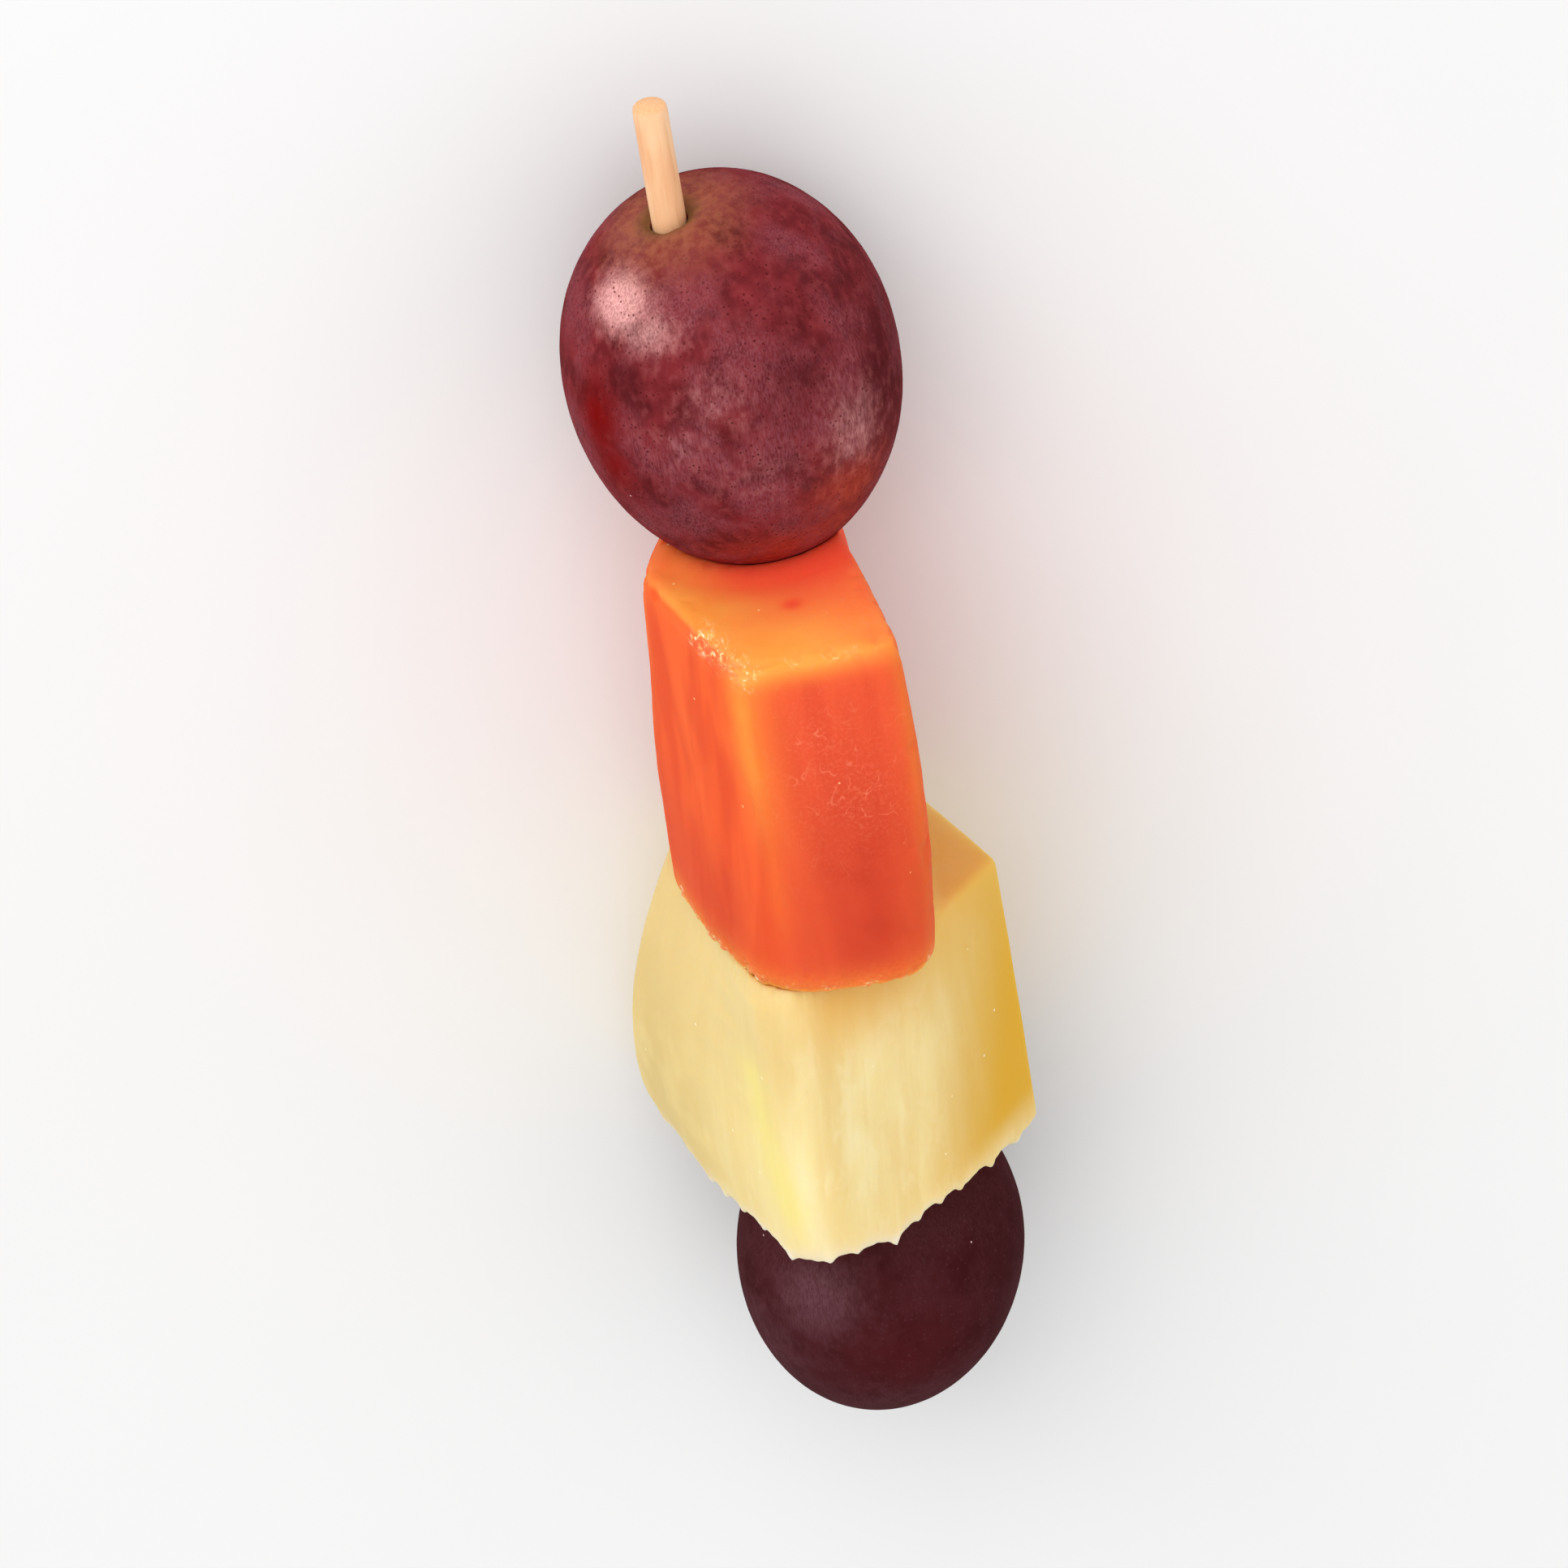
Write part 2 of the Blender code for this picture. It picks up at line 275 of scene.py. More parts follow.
def noise_at(points, size, seed, stretch=(1.0, 1.0, 1.0)):
    """Smooth noise from -1 to 1 with features about so large, at each point."""
    scaled = points / (np.array(stretch) * size) + seed
    return np.array([noise.noise(Vector(p)) for p in scaled])


def near_path(points, path, width):
    """From 1 on a path given in millimetres to 0 well beyond its width."""
    corners = np.array(path) * MM
    nearest = np.full(len(points), np.inf)
    for start, end in zip(corners[:-1], corners[1:]):
        run = end - start
        share = np.clip((points - start) @ run / (run @ run), 0.0, 1.0)
        away = points - start - share[:, None] * run
        nearest = np.minimum(nearest, np.linalg.norm(away, axis=1))
    return np.exp(-((nearest / width) ** 2))


def near_patches(points, patches):
    """The strongest of some soft egg-shaped patches, each a centre, its radii and its strength."""
    strongest = np.zeros(len(points))
    for centre, radii, strength in patches:
        reach = (points / MM - centre) / radii
        strongest = np.maximum(strongest, strength * np.exp(-(reach**2).sum(axis=1)))
    return strongest


def keep_masks(mesh, **masks):
    """Keeps each named mask on the mesh, one value a vertex, for the materials to read."""
    for name, values in masks.items():
        attribute = mesh.attributes.new(name, "FLOAT", "POINT")
        attribute.data.foreach_set("value", np.clip(values, 0.0, 1.0).astype(np.float32))


def add_piece(name, mesh, node, material):
    """A finished piece that stands for a CAD node and rides with it."""
    piece = bpy.data.objects.new(name, mesh)
    bpy.context.scene.collection.objects.link(piece)
    mesh.materials.append(material)
    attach(piece, "root")
    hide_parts(node)


def dense_mesh(node, name, voxel):
    """An even, dense mesh of a CAD node, with its facets smoothed away."""
    helper = bpy.data.objects.new(name + "_source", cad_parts[node].data.copy())
    bpy.context.scene.collection.objects.link(helper)
    remesh = helper.modifiers.new("Even mesh", "REMESH")
    remesh.mode = "VOXEL"
    remesh.voxel_size = voxel
    remesh.use_smooth_shade = True
    evaluated = helper.evaluated_get(bpy.context.evaluated_depsgraph_get())
    mesh = bpy.data.meshes.new_from_object(evaluated)
    mesh.name = name
    mesh.materials.clear()
    bpy.data.objects.remove(helper, do_unlink=True)
    set_points(mesh, blurred(get_points(mesh), get_edges(mesh), FACET_SMOOTHING))
    return mesh


def worn_edges(mesh):
    """From 0 on flats and hollows to 1 on the piece's convex edges."""
    points, edges = get_points(mesh), get_edges(mesh)
    raised = points - blurred(points, edges, WEAR_SMOOTHING)
    height = (raised * get_normals(mesh)).sum(axis=1)
    return np.clip(blurred(height[:, None], edges, 2)[:, 0] / WEAR_HEIGHT, 0.0, 1.0)


def push(mesh, amounts):
    """Moves each vertex along its normal."""
    set_points(mesh, get_points(mesh) + get_normals(mesh) * np.asarray(amounts)[:, None])


def stick_axis():
    low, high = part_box("stick")
    return (low.x + high.x) / 2, (low.z + high.z) / 2


def from_stick(points):
    """Distance of each point from the stick's axis."""
    return np.linalg.norm(points[:, [0, 2]] - stick_axis(), axis=1)


def hug_stick(mesh, dimple):
    """Draws the bore's wall in onto the stick, and dimples the surface round the bore's ends."""
    points, normals = get_points(mesh), get_normals(mesh)
    stick_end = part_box("stick")[0].y
    axis = np.array(stick_axis())
    distance = from_stick(points)
    pulled = np.interp(
        distance, [STICK_PULL_FROM, STICK_PULL_REACH], [STICK_TOUCH, STICK_PULL_REACH]
    )
    beside = (distance < STICK_PULL_REACH) & (points[:, 1] > stick_end)
    scale = np.where(beside, pulled / np.maximum(distance, 1e-9), 1.0)
    points[:, [0, 2]] = axis + (points[:, [0, 2]] - axis) * scale[:, None]
    facing = normals[:, 1]
    depth = dimple * np.exp(-(((distance - STICK_TOUCH) / DIMPLE_WIDTH) ** 2))
    depth[points[:, 1] < stick_end] = 0
    points[:, 1] -= np.sign(facing) * depth * np.clip(np.abs(facing) * 1.5, 0, 1)
    set_points(mesh, points)


def surface_of(mesh):
    """The mesh's surface, ready for finding the nearest place on it."""
    corners = [vertex.co for vertex in mesh.vertices]
    return bvhtree.BVHTree.FromPolygons(corners, [face.vertices for face in mesh.polygons])


def touch(mesh, other, reach, closed=CLOSED_GAP):
    """Swells a piece onto its neighbour: fully across a closed gap, and less and less beyond it.

    What had sunk into the neighbour comes out onto its surface.
    """
    surface = surface_of(other)
    points = get_points(mesh)
    for i, place in enumerate(points):
        found, outward, _, distance = surface.find_nearest(Vector(place), reach)
        if found is None:
            continue
        if (Vector(place) - found).dot(outward) < 0:
            points[i] = found + outward * TOUCH_GAP
        elif distance > TOUCH_GAP:
            pull = 1 - smooth_step(closed, reach, distance)
            points[i] += (np.array(found) - place) * pull * (1 - TOUCH_GAP / distance)
    set_points(mesh, points)


def settle(mesh):
    """Flattens what would sink into the surface that the skewer lies on."""
    points = get_points(mesh)
    points[:, 2] = np.maximum(points[:, 2], cad_low.z)
    set_points(mesh, points)


def gap_to(points, other, reach):
    """Each point's distance to another piece, up to the reach."""
    surface = surface_of(other)
    gaps = [surface.find_nearest(Vector(place), reach)[3] for place in points]
    return np.array([reach if gap is None else gap for gap in gaps])


def pits(points, size, seed):
    """Round pits and the grains between them, from -1 at a pit's floor to 1 on a grain."""
    rough = noise_at(points, size, seed) + 0.5 * noise_at(points, size * 0.5, seed + 4.2)
    return np.clip(rough * 2.2, -1.0, 1.0)


def make_papaya(top_grape):
    """A knife-cut block: wavy faces, a crumbly corner, chipped edges and a thin torn low rim."""
    mesh = dense_mesh("papaya", "papaya_block", CUT_VOXEL)
    hug_stick(mesh, CUT_DIMPLE)
    points, normals = get_points(mesh), get_normals(mesh)
    x, y = points[:, 0], points[:, 1]
    edge = worn_edges(mesh)
    to_grape = gap_to(points, top_grape, 6 * MM)
    right_edge = near_path(points, PAPAYA_RIGHT_EDGE, 0.9 * MM)

    corner = near_path(points, PAPAYA_TOP_LEFT_EDGE, 1.15 * MM)
    front = 0.5 * near_path(points, PAPAYA_TOP_FRONT_EDGE[:3], 0.5 * MM)
    rim = near_path(points, PAPAYA_LOW_EDGE, 0.7 * MM)
    patchy = smooth_step(-0.25, 0.35, noise_at(points, 1.9 * MM, seed=9.4))
    crumbs = np.maximum(corner, np.maximum(front, rim) * patchy)

    broken = noise_at(points, 1.3 * MM, seed=6.3, stretch=(1.0, 1.4, 1.0))
    relief = PAPAYA_WAVE * noise_at(points, 9 * MM, seed=3.1)
    relief += PAPAYA_RIPPLE * noise_at(points, 2.6 * MM, seed=7.7)
    relief -= PAPAYA_CHIP * edge * smooth_step(0.15, 0.6, broken)
    relief += PAPAYA_CRUMB * crumbs * pits(points, 0.85 * MM, seed=2.2)
    relief += PAPAYA_NICK * right_edge * noise_at(points, 0.6 * MM, seed=5.1)
    push(mesh, relief)
    touch(mesh, top_grape, PAPAYA_TOUCH_REACH)

    on_top = smooth_step(0.45, 0.85, normals[:, 1])
    towards_top = smooth_step(-0.5 * MM, 14.5 * MM, y)
    rightwards = smooth_step(4 * MM, 11 * MM, x)
    front_band = near_path(points, PAPAYA_TOP_FRONT_EDGE, 1.4 * MM)
    top_light = np.maximum(near_patches(points, PAPAYA_TOP_LIGHT) * on_top, front_band)
    left_faded = 0.45 + 0.55 * smooth_step(-7 * MM, 0, x)
    thin_rim = near_path(points, PAPAYA_LOW_EDGE, 0.55 * MM)
    wide_rim = 0.4 * near_path(points, PAPAYA_LOW_EDGE, 1.8 * MM)
    keep_masks(
        mesh,
        # painted light on the top face, lighter at its left and front, and painted shade redder at
        # its back and right
        top_face=on_top,
        top_light=top_light * (1 - 0.5 * rightwards),
        top_red=near_patches(points, PAPAYA_TOP_RED) * on_top,
        # painted glow of light through the flesh beside the grape
        glow=left_faded * (1 - smooth_step(0.8 * MM, 4.6 * MM, to_grape)),
        # painted glow along the ridge and the right edge, on flesh yellower there, fading downwards
        # as painted shade
        ridge=near_path(points, PAPAYA_RIDGE, 2.4 * MM) * towards_top,
        right_edge=right_edge * (0.35 + 0.65 * towards_top),
        left_side=smooth_step(0.35, 0.85, -normals[:, 0]),
        # painted shade: darker towards the far left and the bottom
        far_left=smooth_step(-7.5 * MM, -10.8 * MM, x) * (1 - 0.75 * towards_top),
        low_rim=np.maximum(thin_rim, wide_rim),
        # painted glow of light through the thin flesh at the convex edges
        worn_edge=edge,
        crumbs=crumbs,
        # redder inner flesh and painted shade, lower down
        deep=near_patches(points, PAPAYA_DEEP),
        frost=near_patches(points, PAPAYA_FROST),
        red_dot=near_patches(points, PAPAYA_RED_DOT),
        pale_streak=near_patches(points, PAPAYA_PALE_STREAK),
    )
    return mesh


def torn_rim(points, teeth):
    """How far a torn rim stands out at each point, and from 0 to 1 how near a tooth that is.

    The teeth are pairs of an angle round the stick, in degrees, and how far the tooth stands out,
    in millimetres. Between two teeth the rim runs in a shallow arc, deeper if they are far apart.
    """
    x, z = stick_axis()
    around = np.arctan2(points[:, 2] - z, points[:, 0] - x) % math.tau
    starts = np.radians([angle for angle, _ in teeth])
    ends = np.append(starts[1:], starts[0] + math.tau)
    reaches = np.array([reach for _, reach in teeth]) * MM
    around = np.where(around < starts[0], around + math.tau, around)
    arc = np.searchsorted(starts, around, side="right") - 1
    width = ends[arc] - starts[arc]
    share = (around - starts[arc]) / width
    bow = 4 * share * (1 - share)
    straight = reaches[arc] * (1 - share) + np.roll(reaches, -1)[arc] * share
    depth = np.minimum(width * PINEAPPLE_RIM_RADIUS * PINEAPPLE_RIM_BOW, PINEAPPLE_RIM_DEPTH)
    off_tooth = np.minimum(share, 1 - share) * width * PINEAPPLE_RIM_RADIUS
    tooth = np.exp(-((off_tooth / PINEAPPLE_TOOTH_WIDTH) ** 2))
    return straight - depth * bow + PINEAPPLE_TOOTH * tooth, tooth


def make_pineapple(papaya, low_grape):
    """A wedge of fibrous flesh with faint lengthwise furrows and a torn, scalloped low rim."""
    mesh = dense_mesh("pineapple", "pineapple_wedge", CUT_VOXEL)
    hug_stick(mesh, CUT_DIMPLE)
    points, normals = get_points(mesh), get_normals(mesh)
    x, y = points[:, 0], points[:, 1]
    low_end = y.min()
    edge = worn_edges(mesh)

    furrows = noise_at(points, 1.7 * MM, seed=1.7, stretch=(1.0, 12.0, 1.0))
    push(mesh, PINEAPPLE_WAVE * noise_at(points, 8 * MM, seed=5.5) + PINEAPPLE_FURROW * furrows)

    torn = get_points(mesh)
    reach, tooth = torn_rim(torn, PINEAPPLE_TEETH)
    reach += 0.2 * MM * noise_at(torn, 2.3 * MM, seed=4.9)
    reach += 0.14 * MM * noise_at(torn, 0.8 * MM, seed=8.1)
    near_end = 1 - smooth_step(low_end, low_end + PINEAPPLE_RIM_HEIGHT, torn[:, 1])
    spread_edge = blurred(edge[:, None], get_edges(mesh), PINEAPPLE_RIM_SPREAD)[:, 0]
    near_rim = np.clip(2.2 * spread_edge, 0.0, 1.0)
    cut_face = smooth_step(0.5, 0.9, -normals[:, 1])
    near_rim = 1 - cut_face * (1 - near_rim)
    torn[:, 1] -= reach * near_end * near_rim
    at_tip = 1 - smooth_step(low_end, low_end + 1.0 * MM, torn[:, 1])
    set_points(mesh, torn)
    touch(mesh, low_grape, PINEAPPLE_GRAPE_REACH)
    touch(mesh, papaya, PINEAPPLE_PAPAYA_REACH, closed=PINEAPPLE_PAPAYA_CLOSED)
    settle(mesh)

    across = smooth_step(5.2 * MM, 16.5 * MM, x - 0.25 * (y + 24 * MM))
    above_rim = smooth_step(low_end + 0.5 * MM, -33 * MM, y)
    low_rim = 1 - smooth_step(low_end, low_end + 2.8 * MM, y)
    to_tip = smooth_step(-18 * MM, -31 * MM, y)
    rightwards = smooth_step(-5 * MM, 1.5 * MM, x)
    to_papaya = gap_to(points, papaya, 11 * MM)
    keep_masks(
        mesh,
        left_side=smooth_step(0.3, 0.9, -normals[:, 0]),
        # painted shade: darker towards the far left
        left_rim=smooth_step(-8 * MM, -15 * MM, x),
        upper_left=smooth_step(-1.5 * MM, -5 * MM, x) * smooth_step(-28 * MM, -16 * MM, y),
        # painted shadow under the papaya, warmed by its orange
        under_papaya=rightwards * (1 - smooth_step(2 * MM, 11 * MM, to_papaya)),
        # painted orange light thrown from the papaya onto the flesh beside it
        stain=(1 - 0.8 * rightwards) * (1 - smooth_step(0.5 * MM, 1.5 * MM, to_papaya)),
        # darker amber towards the thin right edge, partly painted shade
        amber=across * (0.4 + 0.6 * above_rim),
        pale=low_rim * np.maximum(edge, 0.5) * (1 - 0.85 * across),
        # painted highlight on the tips of the rim's teeth
        tooth=tooth * at_tip * near_rim,
        # painted highlight along the ridge
        ridge_light=near_path(points, PINEAPPLE_RIDGE, 1.1 * MM) * (0.2 + 0.8 * to_tip),
        lemon=near_path(points, PINEAPPLE_LEMON, 2.6 * MM),
    )
    return mesh


def make_grape(node, name, seed, bloom, blush, warm, dark):
    """A grape with a slightly uneven skin, drawn in round the stick, with a corky ring there."""
    mesh = dense_mesh(node, name, GRAPE_VOXEL)
    hug_stick(mesh, GRAPE_DIMPLE)
    points, normals = get_points(mesh), get_normals(mesh)
    away = from_stick(points)
    ring = np.exp(-(((away - GRAPE_RING_RADIUS) / GRAPE_RING_WIDTH) ** 2))
    ring *= smooth_step(0.3, 0.8, normals[:, 1])
    rough = GRAPE_RING_ROUGHNESS * noise_at(points, 0.8 * MM, seed + 2)
    push(mesh, GRAPE_WAVE * noise_at(points, 11 * MM, seed) + ring * (GRAPE_RING_HEIGHT + rough))
    settle(mesh)
    keep_masks(
        mesh,
        bloom=near_patches(points, bloom),
        blush=near_patches(points, blush),
        warm=near_patches(points, warm),
        dark=near_patches(points, dark),
        stem=smooth_step(9 * MM, 2.0 * MM, away) * smooth_step(0.4, 0.9, normals[:, 1]),
        cork=smooth_step(3.4 * MM, 1.8 * MM, away) * smooth_step(0.2, 0.7, normals[:, 1]),
    )
    return mesh


def make_stick():
    """The bamboo stick, from its square-cut end to its point, with a fine lengthwise grain."""
    low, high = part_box("stick")
    x, z = stick_axis()
    radius = (high.x - low.x) / 2 - STICK_SLACK
    steps = int((high.y - low.y) / STICK_RING_STEP)
    vertices, faces = [], []
    for step in range(steps + 1):
        y = high.y - (high.y - low.y) * step / steps
        taper = np.interp(y - low.y, [0, STICK_POINT_LENGTH], [STICK_TIP_SHARE, 1.0])
        taper *= np.interp(high.y - y, STICK_ROUNDING[0], STICK_ROUNDING[1])
        for side in range(STICK_SIDES):
            angle = math.tau * side / STICK_SIDES
            across, up = math.cos(angle), math.sin(angle)
            fineness = STICK_GRAIN_FINENESS
            place = Vector((across * fineness, y / STICK_GRAIN_LENGTH, up * fineness))
            ring = (radius + STICK_GRAIN * noise.noise(place)) * taper
            vertices.append((x + ring * across, y, z + ring * up))
    for step in range(steps):
        for side in range(STICK_SIDES):
            a = step * STICK_SIDES + side
            b = step * STICK_SIDES + (side + 1) % STICK_SIDES
            faces.append((a, b, b + STICK_SIDES, a + STICK_SIDES))
    faces.append(tuple(reversed(range(STICK_SIDES))))
    faces.append(tuple(range(steps * STICK_SIDES, (steps + 1) * STICK_SIDES)))
    mesh = bpy.data.meshes.new("bamboo_stick")
    mesh.from_pydata(vertices, [], faces)
    mesh.shade_smooth()
    mesh.set_sharp_from_angle(angle=STICK_CREASE)
    along = get_points(mesh)[:, 1]
    keep_masks(mesh, cut_end=smooth_step(high.y - 0.5 * MM, high.y - 0.1 * MM, along))
    return mesh


# ---------------------------------------------------------------- materials


def colour(red, green, blue):
    """A colour given as it shows on a screen, from 0 to 255, as the shader wants it."""
    shares = [value / 255 for value in (red, green, blue)]
    linear = [s / 12.92 if s <= 0.04045 else ((s + 0.055) / 1.055) ** 2.4 for s in shares]
    return (*linear, 1.0)


class Recipe:
    """A material written step by step: each call adds a node and gives back its result."""

    def __init__(self, name):
        self.material = bpy.data.materials.new(name)
        self.material.use_nodes = True
        self.nodes = self.material.node_tree.nodes
        self.links = self.material.node_tree.links
        self.shader = self.nodes["Principled BSDF"]
        self.place = self.nodes.new("ShaderNodeTexCoord").outputs["Object"]

    def node(self, kind, **settings):
        made = self.nodes.new(kind)
        for setting, value in settings.items():
            setattr(made, setting, value)
        return made

    def feed(self, socket, value):
        if isinstance(value, bpy.types.NodeSocket):
            self.links.new(value, socket)
        else:
            socket.default_value = value

    def mask(self, name):
        return self.node("ShaderNodeAttribute", attribute_name=name).outputs["Fac"]

    def stretched(self, stretch, lean=0.0, shift=0.0):
        """The place on the piece, squeezed so that a texture read there comes out stretched."""
        mapping = self.node("ShaderNodeMapping", vector_type="TEXTURE")
        self.feed(mapping.inputs["Vector"], self.place)
        self.feed(mapping.inputs["Scale"], stretch)
        self.feed(mapping.inputs["Rotation"], (0.0, 0.0, lean))
        self.feed(mapping.inputs["Location"], (shift, shift, shift))
        return mapping.outputs["Vector"]

    def noise(self, size, detail=2.0, roughness=0.5, warp=0.0, place=None):
        texture = self.node("ShaderNodeTexNoise")
        self.feed(texture.inputs["Vector"], place or self.place)
        self.feed(texture.inputs["Scale"], 1 / size)
        self.feed(texture.inputs["Detail"], detail)
        self.feed(texture.inputs["Roughness"], roughness)
        self.feed(texture.inputs["Distortion"], warp)
        return texture.outputs["Fac"]

    def dots(self, cell, radius, kept):
        """Small round dots, at most one a cell of the pattern, and only in a share of the cells."""
        texture = self.node("ShaderNodeTexVoronoi")
        self.feed(texture.inputs["Vector"], self.place)
        self.feed(texture.inputs["Scale"], 1 / cell)
        size = radius / cell
        dot = self.span(texture.outputs["Distance"], size * 1.25, size * 0.75)
        chance = self.node("ShaderNodeSeparateColor")
        self.feed(chance.inputs["Color"], texture.outputs["Color"])
        return self.times(dot, self.span(chance.outputs["Red"], kept, kept - 0.02))

    def span(self, value, low, high, to_low=0.0, to_high=1.0):
        """Brings a value from one range to another, easing in and out."""
        flipped = low > high
        if flipped:
            low, high, to_low, to_high = high, low, to_high, to_low
        ease = self.node("ShaderNodeMapRange", interpolation_type="SMOOTHSTEP")
        for socket, given in zip(ease.inputs, (value, low, high, to_low, to_high)):
            self.feed(socket, given)
        return ease.outputs["Result"]

    def calculate(self, operation, first, second=0.0):
        node = self.node("ShaderNodeMath", operation=operation)
        self.feed(node.inputs[0], first)
        self.feed(node.inputs[1], second)
        return node.outputs["Value"]

    def sum(self, first, second):
        return self.calculate("ADD", first, second)

    def times(self, first, second):
        return self.calculate("MULTIPLY", first, second)

    def mix(self, share, first, second):
        """The first colour, or the second where the share is 1."""
        node = self.node("ShaderNodeMix", data_type="RGBA")
        colours = [socket for socket in node.inputs if socket.type == "RGBA"]
        self.feed(node.inputs["Factor"], share)
        self.feed(colours[0], first)
        self.feed(colours[1], second)
        return next(socket for socket in node.outputs if socket.type == "RGBA")

    def paint(self, under, over, *shares):
        """The colour under, painted over with another by the product of the shares."""
        share = shares[0]
        for other in shares[1:]:
            share = self.times(share, other)
        return self.mix(share, under, over)

    def bump(self, height, depth):
        node = self.node("ShaderNodeBump")
        self.feed(node.inputs["Height"], height)
        self.feed(node.inputs["Distance"], depth)
        return node.outputs["Normal"]

    def finish(self, **inputs):
        """Sets the shader's own inputs, named in words joined by underscores."""
        names = {socket.name.lower().replace(" ", "_"): socket for socket in self.shader.inputs}
        for name, value in inputs.items():
            self.feed(names[name], value)
        return self.material


def papaya_flesh():
    """Orange flesh, yellower at its cut edges and redder inside, with wet crumbs and faint frost.

    Painted into the colour are a glow along the edges and beside the grape, a lighter top, shade
    lower down, at the back and at the far left, wet highlights on the crumbs and small glints.
    """
    r = Recipe("papaya_flesh")
    streak = r.noise(2.2 * MM, place=r.stretched((1.0, 7.0, 1.0)))
    broad = r.noise(3.6 * MM, warp=0.3, place=r.stretched((1.0, 5.0, 1.0), shift=0.02))
    cloud = r.noise(5 * MM)
    grain = r.noise(0.33 * MM, roughness=0.6)

    flesh = r.mix(r.span(streak, 0.3, 0.7), colour(226, 84, 53), colour(234, 92, 57))
    left = r.mix(r.span(broad, 0.35, 0.65), colour(228, 80, 42), colour(246, 98, 48))
    # painted shade: darker towards the far left and the bottom
    left = r.paint(left, colour(216, 70, 44), r.mask("far_left"), 0.75)
    flesh = r.paint(flesh, left, r.mask("left_side"))
    # redder inner flesh and painted shade, lower down
    deep_share = r.span(cloud, 0.25, 0.7, 0.7, 1.0)
    flesh = r.paint(flesh, colour(198, 62, 40), r.mask("deep"), deep_share)
    # painted glow along the ridge and the right edge, on flesh yellower there, fading downwards as
    # painted shade
    ridge_share = r.span(cloud, 0.25, 0.7, 0.75, 1.0)
    flesh = r.paint(flesh, colour(246, 142, 56), r.mask("ridge"), ridge_share)
    flesh = r.paint(flesh, colour(228, 122, 50), r.mask("right_edge"))
    flesh = r.paint(flesh, colour(244, 120, 54), r.mask("pale_streak"), 0.4)
    # painted glow of light through the thin flesh at the convex edges
    flesh = r.paint(flesh, colour(240, 124, 56), r.mask("worn_edge"), 0.25)

    # painted light: the top face lighter than the sides, most at its left and front, with painted
    # shade redder at its back and right
    top = r.mix(r.span(cloud, 0.3, 0.7), colour(255, 128, 66), colour(254, 142, 66))
    flesh = r.paint(flesh, top, r.mask("top_face"))
    top_light = r.mix(r.span(cloud, 0.3, 0.7), colour(253, 156, 65), colour(252, 170, 76))
    flesh = r.paint(flesh, top_light, r.mask("top_light"))
    flesh = r.paint(flesh, colour(248, 90, 60), r.mask("top_red"))
    # painted glow of light through the flesh beside the grape
    flesh = r.paint(flesh, colour(255, 78, 54), r.mask("glow"))
    rim_share = r.span(grain, 0.3, 0.6, 0.45, 0.9)
    flesh = r.paint(flesh, colour(252, 158, 64), r.mask("low_rim"), rim_share)
    flesh = r.paint(flesh, colour(240, 62, 46), r.mask("red_dot"), 0.8)

    frost = r.times(r.mask("frost"), r.span(cloud, 0.3, 0.65, 0.4, 1.0))
    flesh = r.paint(flesh, colour(246, 134, 98), frost, r.span(grain, 0.4, 0.8), 0.4)
    curl = r.calculate("SUBTRACT", r.noise(1.9 * MM, detail=1.0, warp=0.8), 0.5)
    hair = r.span(r.calculate("ABSOLUTE", curl), 0.024, 0.008)
    broken = r.times(r.span(r.noise(1.7 * MM, detail=1.0), 0.5, 0.64), frost)
    flesh = r.paint(flesh, colour(250, 158, 120), hair, broken, 0.4)

    lumps = r.noise(0.42 * MM, roughness=0.6, warp=0.5, place=r.stretched((1.0, 1.0, 2.4)))
    crumbs = r.mask("crumbs")
    # pale crumbs, with painted wet highlights on their peaks
    flesh = r.paint(flesh, colour(255, 206, 126), crumbs, r.span(lumps, 0.5, 0.66), 0.8)
    flesh = r.paint(flesh, colour(255, 240, 206), crumbs, r.span(lumps, 0.6, 0.72))
    # painted glints: small pale dots
    flesh = r.paint(flesh, colour(255, 196, 140), r.dots(2.2 * MM, 0.11 * MM, kept=0.35))

    relief = r.sum(r.times(grain, 0.35), r.times(lumps, crumbs))
    return r.finish(
        base_color=flesh,
        roughness=r.span(cloud, 0.3, 0.7, 0.36, 0.48),
        specular_ior_level=0.0,
        coat_weight=r.sum(r.times(crumbs, 0.6), 0.08),
        coat_roughness=0.2,
        subsurface_weight=0.55,
        subsurface_radius=(4.5, 1.0, 0.45),
        subsurface_scale=MM,
        normal=r.bump(relief, 0.06 * MM),
    )


